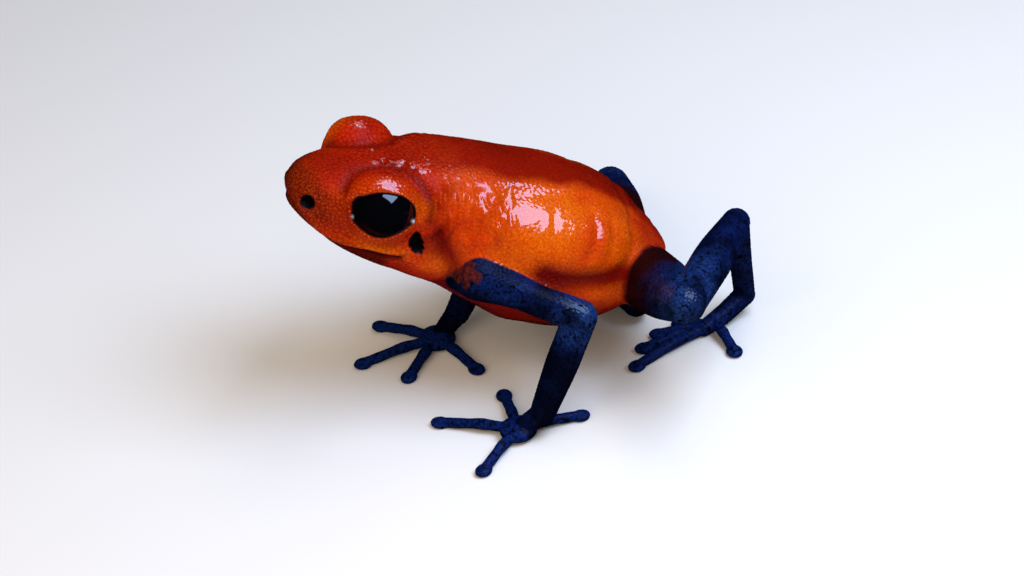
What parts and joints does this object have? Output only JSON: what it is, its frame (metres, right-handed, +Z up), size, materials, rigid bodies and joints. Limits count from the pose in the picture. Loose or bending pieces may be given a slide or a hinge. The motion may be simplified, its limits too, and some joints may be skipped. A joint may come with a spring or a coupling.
{
  "type": "strawberry poison dart frog",
  "caption": "Life-size still model of a small poison dart frog, red body and deep blue limbs, standing tall on its hands with the head raised and turned a little.",
  "frame": {"origin": "Centre of the part's box in X and Y, at floor level under the hands and feet.", "axes": "The frog faces -Y, its left side is +X, and +Z is up."},
  "size_m": [0.0208, 0.0236, 0.0145],
  "materials": {
    "head_skin": "moist skin, deep red above, orange round the eyes and lips",
    "body_skin": "moist granular skin, red back and orange flanks",
    "limb_skin": "granular deep blue skin with black flecks, satin",
    "eye": "polished, near black"
  },
  "bodies": {
    "root": {"head": "head_skin", "torso": "body_skin", "eye_left": "eye", "upper_arm_left": "limb_skin", "forearm_left": "limb_skin", "hand_left": "limb_skin", "thigh_left": "limb_skin", "shank_left": "limb_skin", "tarsus_left": "limb_skin", "foot_left": "limb_skin", "eye_right": "eye", "upper_arm_right": "limb_skin", "forearm_right": "limb_skin", "hand_right": "limb_skin", "thigh_right": "limb_skin", "shank_right": "limb_skin", "tarsus_right": "limb_skin", "foot_right": "limb_skin"}
  },
  "joints": []
}
